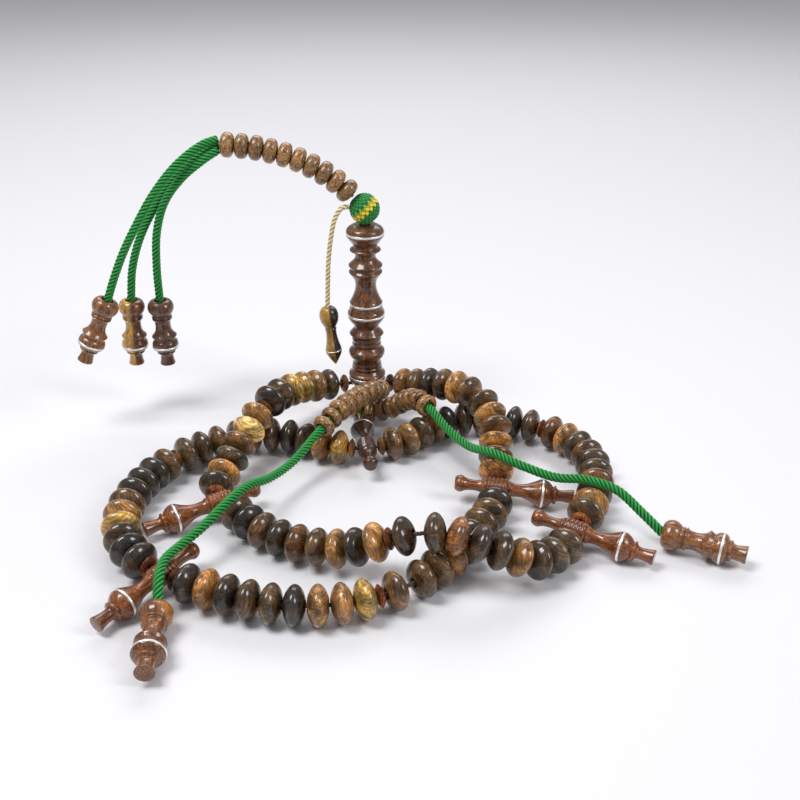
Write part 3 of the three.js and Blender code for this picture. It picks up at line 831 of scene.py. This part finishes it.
IMAM_PROFILE = [
    (0, 0), (3.2, 0), (3.5, 0.25), (3.5, 0.75), (2.9, 1.2), (1.95, 1.83), (2.0, 2.4), (2.3, 3.05),
    (2.8, 3.97), (2.72, 4.4), (2.4, 4.97), (2.5, 5.5), (2.9, 6.1), (3.8, 7.3), (4.8, 8.5), (5.45, 9.4),
    (5.7, 10.0), (5.7, 11.9), (5.4, 12.3), (5.06, 12.5), (4.6, 13.2), (4.4, 13.5), (4.5, 13.85),
    (4.67, 14.1), (4.6, 14.35), (4.38, 14.6), (4.5, 15.1), (4.45, 15.5), (4.27, 15.9), (4.2, 16.6),
    (4.5, 17.2), (5.06, 17.7), (5.45, 18.5), (5.6, 19.2), (5.45, 19.9), (4.94, 20.4), (4.5, 20.9),
    (4.2, 21.35), (4.35, 21.7), (4.5, 22.05), (4.4, 22.45), (4.2, 22.9), (4.35, 23.25), (4.5, 23.6),
    (4.4, 24.05), (4.2, 24.5), (4.4, 24.75), (5.2, 25.35), (5.25, 25.55), (4.7, 26.2), (4.1, 26.9),
    (3.66, 27.5), (3.75, 28.1), (4.4, 29), (5.0, 29.8), (5.45, 30.6), (5.65, 31.1), (5.65, 32.4),
    (5.45, 32.9), (5.2, 33.3), (5.0, 33.9), (4.95, 34.3), (5.0, 34.6), (5.0, 35.8), (4.6, 36.4),
    (4.1, 37.5), (3.6, 38.7), (3.25, 39.9), (3.1, 41.2), (3.25, 42.4), (3.6, 43.3), (4.0, 43.9),
    (4.9, 45.1), (5.05, 45.4), (4.95, 45.65), (4.35, 46.2), (4.3, 46.5), (4.35, 46.8), (5.05, 47.3),
    (5.1, 47.55), (4.9, 47.8), (3.9, 48.7), (3.3, 49.5), (3.05, 50.2), (3.15, 50.8), (3.36, 51.3),
    (3.9, 51.8), (4.6, 52.15), (4.67, 52.35), (4.4, 52.65), (3.6, 53.2), (3.5, 53.5), (3.7, 54.0),
    (4.0, 54.4), (4.5, 55.1), (5.0, 55.8), (5.5, 56.5), (5.65, 56.8), (5.65, 58.0), (5.4, 58.6),
    (5.0, 59.1), (4.2, 59.6), (3.5, 59.95), (2.9, 60.0), (1.9, 60.0), (1.6, 59.6), (1.6, 59.0), (0, 59.0),
]
IMAM_RINGS = [(5.6, 10.9), (5.6, 31.7), (4.9, 35.2), (5.6, 57.4)]
imam_profile = []
GROOVE_HALF, GROOVE_DEPTH = 0.42, 0.5
RING_HALF_DEPTH, RING_HALF_HEIGHT = 0.29, 0.38
for radius, height in IMAM_PROFILE:
    if not any(abs(height - z) < GROOVE_HALF + 0.02 for _, z in IMAM_RINGS):
        imam_profile.append((radius, height))
for radius, height in IMAM_RINGS:
    at = next(i for i, p in enumerate(imam_profile) if p[1] > height)
    floor_radius, low, high = radius - GROOVE_DEPTH, height - GROOVE_HALF, height + GROOVE_HALF
    imam_profile[at:at] = [(radius + 0.02, low), (floor_radius, low),
                           (floor_radius, high), (radius + 0.02, high)]
imam_bores = [LOOP_HOLE]
for route in COUNTER_ROUTES.values():
    direction = (Vector(route[1]) - Vector(route[0])).normalized()
    imam_bores.append((route[0], tuple(Vector(route[1]) + direction * 2.5), CORD_HOLE_RADIUS))
imam = turned_piece("imam_look", imam_profile, Matrix.Identity(4), [IMAM_WOOD, SILVER], sides=96,
                    bores=imam_bores, reach=0.06)
stands_for(imam, "imam")
for index, (radius, height) in enumerate(IMAM_RINGS):
    shape = Shape()
    section = []
    for i in range(20):
        angle = 2 * math.pi * i / 20
        corner = abs(math.cos(angle)) ** 0.6, abs(math.sin(angle)) ** 0.6
        section.append((radius - 0.2 + RING_HALF_DEPTH * math.copysign(corner[0], math.cos(angle)),
                        height + RING_HALF_HEIGHT * math.copysign(corner[1], math.sin(angle))))
    shape.lathe(section, Matrix.Identity(4), 96, closed=True)
    finished(shape, f"imam_ring_{index + 1}", SILVER)

BAR_PROFILE = [
    (0, -11.4), (1.55, -11.4), (1.9, -11.1), (2.2, -10.5), (2.3, -9.9), (2.2, -9.4), (1.9, -8.9),
    (1.62, -8.2), (1.46, -7.2), (1.42, -6.2), (1.5, -5.2), (1.72, -4.4), (1.98, -3.85), (2.28, -3.45),
    (2.32, -3.2), (2.15, -3.0), (2.5, -2.85),
]
for rib in range(5):
    middle = -2.2 + 1.1 * rib
    BAR_PROFILE += [(2.62, middle - 0.5), (2.86, middle - 0.22), (2.86, middle + 0.22), (2.62, middle + 0.5)]
BAR_PROFILE += [
    (2.5, 2.85), (2.12, 3.0), (2.3, 3.2), (2.26, 3.45), (1.95, 3.8), (1.8, 4.6), (1.74, 5.6), (1.8, 6.6),
    (2.0, 7.6), (2.35, 8.6), (2.8, 9.6), (3.3, 10.6), (3.68, 11.3), (3.82, 11.8), (3.8, 12.6), (3.66, 13.1),
    (3.3, 13.8), (2.8, 14.4), (2.3, 14.85), (2.1, 15.0), (2.15, 15.15), (2.5, 15.3), (2.55, 15.5),
    (2.45, 15.75), (1.95, 15.95), (1.6, 16.3), (1.5, 16.9), (1.54, 17.8), (1.68, 18.8), (1.86, 19.7),
    (2.0, 20.3), (1.96, 20.6), (0, 20.6),
]
bar_profile, bar_ring = ring_bulge(BAR_PROFILE, 12.15)
MIDDLE_BAR_SLIMMING = 0.94         # keeps it off the counter's beads when it rolls
for index, name in enumerate(BAR_NAMES):
    stop = stops[index + 1]
    place, along = loop_line.at(stop), loop_line.along(stop)
    level = Vector((along.y, -along.x, 0)).normalized()
    axis = level * math.cos(BAR_TILT) + Vector((0, 0, -math.sin(BAR_TILT)))
    axis -= along * axis.dot(along)
    bore = (tuple(place - along * 6), tuple(place + along * 6), BAR_BORE)
    middle_bar = name == "crossbar_middle"
    wood = DARK_BAR_WOOD if middle_bar else BAR_WOOD
    slimmer = MIDDLE_BAR_SLIMMING if middle_bar else 1.0
    profile = [(slimmer * radius, height) for radius, height in bar_profile]
    obj = turned_piece(f"{name}_look", profile, placement(place, axis), [wood, SILVER], [bar_ring],
                       bores=[bore])
    stands_for(obj, name)

FINIAL_PROFILE = [
    (0, 1.35), (1.7, 1.35), (1.75, 0.5), (1.8, 0.1), (2.0, 0.0), (2.5, 0.05), (3.0, 0.28), (3.45, 0.75),
    (3.78, 1.4), (3.93, 2.15), (3.9, 2.7), (3.72, 3.35), (3.4, 3.95), (3.0, 4.45), (2.75, 4.72),
    (2.85, 5.05), (3.05, 5.2), (2.95, 5.35), (2.6, 5.5), (2.65, 5.65), (2.98, 5.85), (3.0, 6.0), (2.8, 6.2),
    (2.5, 6.6), (2.35, 7.3), (2.28, 8.2), (2.36, 9.1), (2.6, 10.0), (3.0, 10.7), (3.5, 11.25), (3.74, 11.5),
    (3.74, 11.7), (3.5, 12.1), (3.25, 12.5), (3.2, 12.75), (3.3, 13.0), (3.62, 13.3), (3.86, 13.8),
    (3.95, 14.4), (3.95, 15.1), (3.75, 15.6), (3.35, 16.05), (2.75, 16.4), (2.55, 16.55), (2.6, 16.75),
    (2.78, 16.95), (2.7, 17.15), (2.3, 17.4), (1.95, 17.7), (1.88, 18.2), (1.95, 19.0), (2.1, 19.9),
    (2.32, 20.7), (2.3, 20.95), (2.0, 21.05), (0, 21.05),
]
finial_profile, finial_ring = ring_bulge(FINIAL_PROFILE, 14.9)


def half_and_half(edge_x, soft):
    """Shade 0 on the row's -X side of a piece, where the sapwood is, to 1 on its +X side."""
    def shade(local, matrix):
        out = matrix.to_3x3() @ Vector((local.x, local.y, 0))
        return min(1.0, max(0.0, (out.x - edge_x) / soft + 0.5))
    return shade


def head_patch(local, matrix):
    """Shade 0 on the right of a finial's head, where a patch of the wood is lighter."""
    out = matrix.to_3x3() @ Vector((local.x, local.y, 0))
    return min(1.0, max(0.0, 0.5 - (out.x - 1.2) / 1.6) + max(0.0, (local.z - 4.2) / 1.5))


FINIALS = {
    "tail_finial_left": ("tail_left", (-0.42, -0.06, -0.9), FINIAL_WOOD, None),
    "tail_finial_middle": ("tail_middle", (-0.03, 0, -1), SAP_FINIAL_WOOD, half_and_half(0.2, 0.7)),
    "tail_finial_right": ("tail_right", (0.02, 0, -1), DARK_FINIAL_WOOD, None),
    "counter_left_finial": ("counter_left", (0.04, -1, -0.03), PATCHED_FINIAL_WOOD, head_patch),
    "counter_right_finial": ("counter_right", (0.9, -0.44, -0.03), FINIAL_WOOD, None),
}
for name, (cord_key, axis, material, shade) in FINIALS.items():
    line = cords[cord_key][2]
    mouth = line.points[-1] + line.along(line.total) * END_GAP
    obj = turned_piece(f"{name}_look", finial_profile, placement(mouth, axis), [material, SILVER],
                       [finial_ring], shade=shade)
    stands_for(obj, name)

PENDANT_PROFILE = [
    (0, 0.5), (0.72, 0.5), (0.78, 0.2), (0.9, 0.0), (1.4, 0.02), (2.05, 0.45), (2.6, 1.2), (2.88, 2.2),
    (2.92, 3.3), (2.7, 4.5), (2.25, 5.5), (1.85, 6.2), (1.62, 6.7), (1.78, 6.95), (1.74, 7.3), (1.62, 7.7),
    (1.6, 8.8), (1.72, 10.2), (1.95, 11.6), (2.3, 13.0), (2.5, 13.9), (2.52, 14.6), (2.3, 15.5),
    (1.85, 16.4), (1.3, 17.4), (0.75, 18.3), (0.3, 18.95), (0, 19.3),
]
pendant_profile, pendant_ring = ring_bulge(PENDANT_PROFILE, 14.2, half=0.2, proud=0.08)
pendant_axis = Vector((0.1, 0, -1))
pendant_mouth = gold_line.points[-1] + pendant_axis * END_GAP
pendant = turned_piece("pendant_look", pendant_profile, placement(pendant_mouth, pendant_axis),
                       [PENDANT_WOOD, SILVER], [pendant_ring], shade=half_and_half(0.5, 0.3))
stands_for(pendant, "pendant")

# ---------------------------------------------------------------- counter beads and tail beads
for side in ("left", "right"):
    line = cords[f"counter_{side}"][2]
    base = (164, 124, 76) if side == "left" else (162, 116, 64)
    run = Shape()
    for i in range(COUNTER_BEADS):
        fixed = i < FIXED_COUNTER_BEADS
        gaps = 0 if fixed else i + 1 - FIXED_COUNTER_BEADS
        middle = COUNTER_START + (i + 0.5) * COUNTER_PITCH + gaps * LOOSE_GAP
        shape = run if fixed else Shape()
        lift = random.uniform(0.85, 1.12)
        share, bore = (1.0, COUNTER_BORE) if fixed else (LOOSE_COUNTER_SHARE, LOOSE_COUNTER_BORE)
        put_bead(shape, line, middle, COUNTER_BEAD_RADIUS, share * COUNTER_PITCH, bore,
                 rgb(*[min(255, c * lift) for c in base]), power=2.5, sides=36)
        if not fixed:
            finished(shape, f"counter_{side}_bead_{i + 1}", COUNTER_WOOD)
    finished(run, f"counter_{side}_beads", COUNTER_WOOD)
for i in range(TAIL_BEADS):
    shape = Shape()
    lift = random.uniform(0.85, 1.12)
    middle = END_GAP + (i + 0.5) * TAIL_PITCH
    put_bead(shape, tail_line, middle, TAIL_BEAD_RADIUS, TAIL_SHARE * TAIL_PITCH, TAIL_BORE,
             rgb(*[min(255, c * lift) for c in (160, 120, 72)]), power=2.6, sides=40)
    finished(shape, f"tail_bead_{i + 1}", TAIL_WOOD)

# ---------------------------------------------------------------- the knot: green weave with a yellow zigzag
knot_shape = Shape()
KNOT_ROWS, KNOT_SIDES = 90, 180
WEAVE_ACROSS, WEAVE_UP = 15, 9     # crossings round the ball and up it
WEAVE_DEPTH = 0.5
KNOT_STRETCH = 1.05                # the lower half, down to the imam
ZIGZAG_SWING, ZIGZAG_HALF_WIDTH = 0.42, 0.62
knot_turn = Matrix.Rotation(math.radians(-42), 4, "Y")
knot_rows = []
for row in range(KNOT_ROWS + 1):
    tilt = math.pi * (row / KNOT_ROWS - 0.5)
    count = 1 if row in (0, KNOT_ROWS) else KNOT_SIDES
    ring = []
    for i in range(count):
        turn = 2 * math.pi * i / KNOT_SIDES
        u = WEAVE_ACROSS * turn / (2 * math.pi)
        v = WEAVE_UP * (tilt / math.pi + 0.5)
        a, b = u + v, u - v
        parity = (math.floor(a) + math.floor(b)) % 2
        fa, fb = a % 1, b % 1
        across, along = (fa, fb) if parity else (fb, fa)
        bulge = math.sin(math.pi * across) ** 0.6 * (0.62 + 0.38 * math.sin(math.pi * along))
        fade = min(1.0, math.cos(tilt) * 2.5)
        radius = KNOT_RADIUS - WEAVE_DEPTH * (1 - bulge * fade) * (1 if count > 1 else 0.4)
        spot = knot_turn @ Vector((math.cos(tilt) * math.cos(turn), math.cos(tilt) * math.sin(turn),
                                   math.sin(tilt))) * radius
        spot.z *= KNOT_STRETCH if spot.z < 0 else 1
        # bulge is also each point's shade: the knot's colours are painted darker in the weave's hollows, as
        # painted shade, and lighter on its crossings, as a painted highlight.
        ring.append(knot_shape.point(Vector(KNOT) + spot, (fa * 3, fb * 3 + row * 0.1, turn * 4),
                                     WHITE, bulge))
    knot_rows.append(ring)
for row, (low, high) in enumerate(zip(knot_rows, knot_rows[1:])):
    for i in range(KNOT_SIDES):
        j = (i + 1) % KNOT_SIDES
        if len(low) == 1:
            face = (low[0], high[j], high[i])
        elif len(high) == 1:
            face = (low[i], low[j], high[0])
        else:
            face = (low[i], low[j], high[j], high[i])
        turn = (i + 0.5) / KNOT_SIDES * WEAVE_ACROSS
        level = WEAVE_UP * (row + 0.5) / KNOT_ROWS
        zigzag = level - WEAVE_UP / 2 - ZIGZAG_SWING * (abs(turn % 1 - 0.5) * 4 - 1)
        knot_shape.faces.append(face)
        knot_shape.mats.append(1 if abs(zigzag) < ZIGZAG_HALF_WIDTH else 0)
knot = knot_shape.make("knot_look", [KNOT_GREEN, KNOT_YELLOW], sharp=120)
outward(knot)
stands_for(knot, "knot")

# ---------------------------------------------------------------- each free cord's path, read and left unused
for side in ("left", "middle", "right"):
    obj, path, line = cords[f"tail_{side}"]
for side in ("left", "right"):
    obj, path, line = cords[f"counter_{side}"]
tuple(gold_path[0])
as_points(gold_path)
